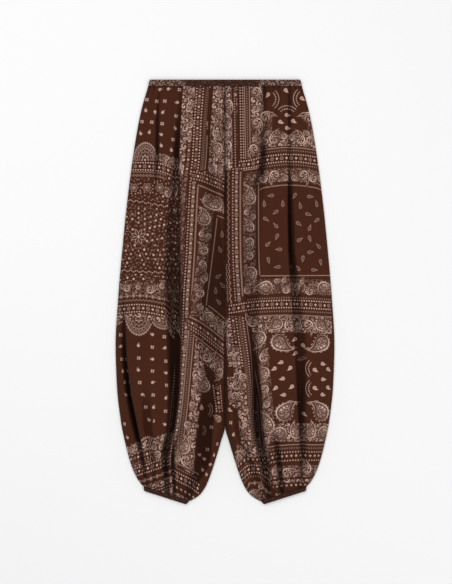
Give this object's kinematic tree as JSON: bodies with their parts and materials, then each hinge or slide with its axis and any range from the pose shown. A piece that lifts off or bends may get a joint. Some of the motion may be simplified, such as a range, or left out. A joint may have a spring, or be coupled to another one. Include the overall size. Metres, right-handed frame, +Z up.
{
  "type": "palazzo pants",
  "caption": "Balloon-leg palazzo pants laid flat on their back, gathered at waist and ankles by narrow elastic casings, with long folds down both legs.",
  "frame": {"origin": "on the surface that the pants lie on, under the middle of their outline", "axes": "+Y up the garment, from the ankles to the waist; +X towards the wearer's left leg, which is on the right seen from above; +Z up, out of the front of the garment"},
  "size_m": [0.5028, 0.9752, 0.022],
  "materials": {
    "print_cloth": "matte soft woven viscose or cotton, dark brown with a pale beige bandana and paisley patchwork print",
    "waist_cloth": "matte, the same printed cloth gathered over elastic",
    "cuff_cloth": "matte, the same brown cloth gathered over elastic"
  },
  "bodies": {
    "root": {"right_front": "print_cloth", "left_front": "print_cloth", "right_back": "print_cloth", "left_back": "print_cloth", "waistband": "waist_cloth", "right_cuff": "cuff_cloth", "left_cuff": "cuff_cloth"}
  },
  "joints": []
}
